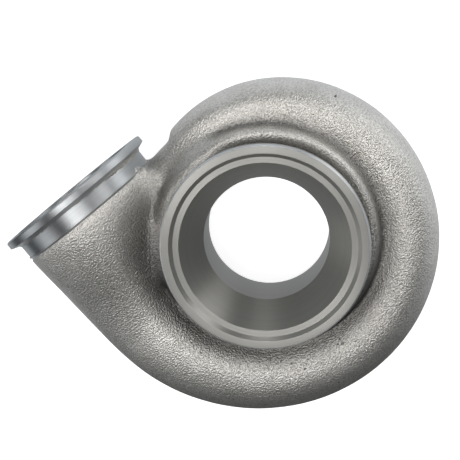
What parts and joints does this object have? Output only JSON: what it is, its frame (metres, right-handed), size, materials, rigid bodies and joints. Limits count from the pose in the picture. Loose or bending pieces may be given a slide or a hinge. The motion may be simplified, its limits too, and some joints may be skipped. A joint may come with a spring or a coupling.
{
  "type": "turbocharger turbine housing",
  "caption": "Cast turbine housing of a turbocharger: a scroll-shaped gas passage wraps a central bore, with a clamp-ring inlet duct, a machined clamp-ring outlet and a bolted bearing flange.",
  "frame": {"origin": "on the turbine shaft's axis, in the plane of the face that seats on the bearing housing", "axes": "+Z along the shaft towards the outlet face, +Y the way the inlet duct points out, and the inlet duct on the -X side"},
  "size_m": [0.1743, 0.1561, 0.0796],
  "materials": {
    "cast_steel": "as-cast and shot-blasted, with bright turned faces at both clamp rings and in the bore"
  },
  "bodies": {
    "root": {"turbine_housing": "cast_steel"}
  },
  "joints": []
}
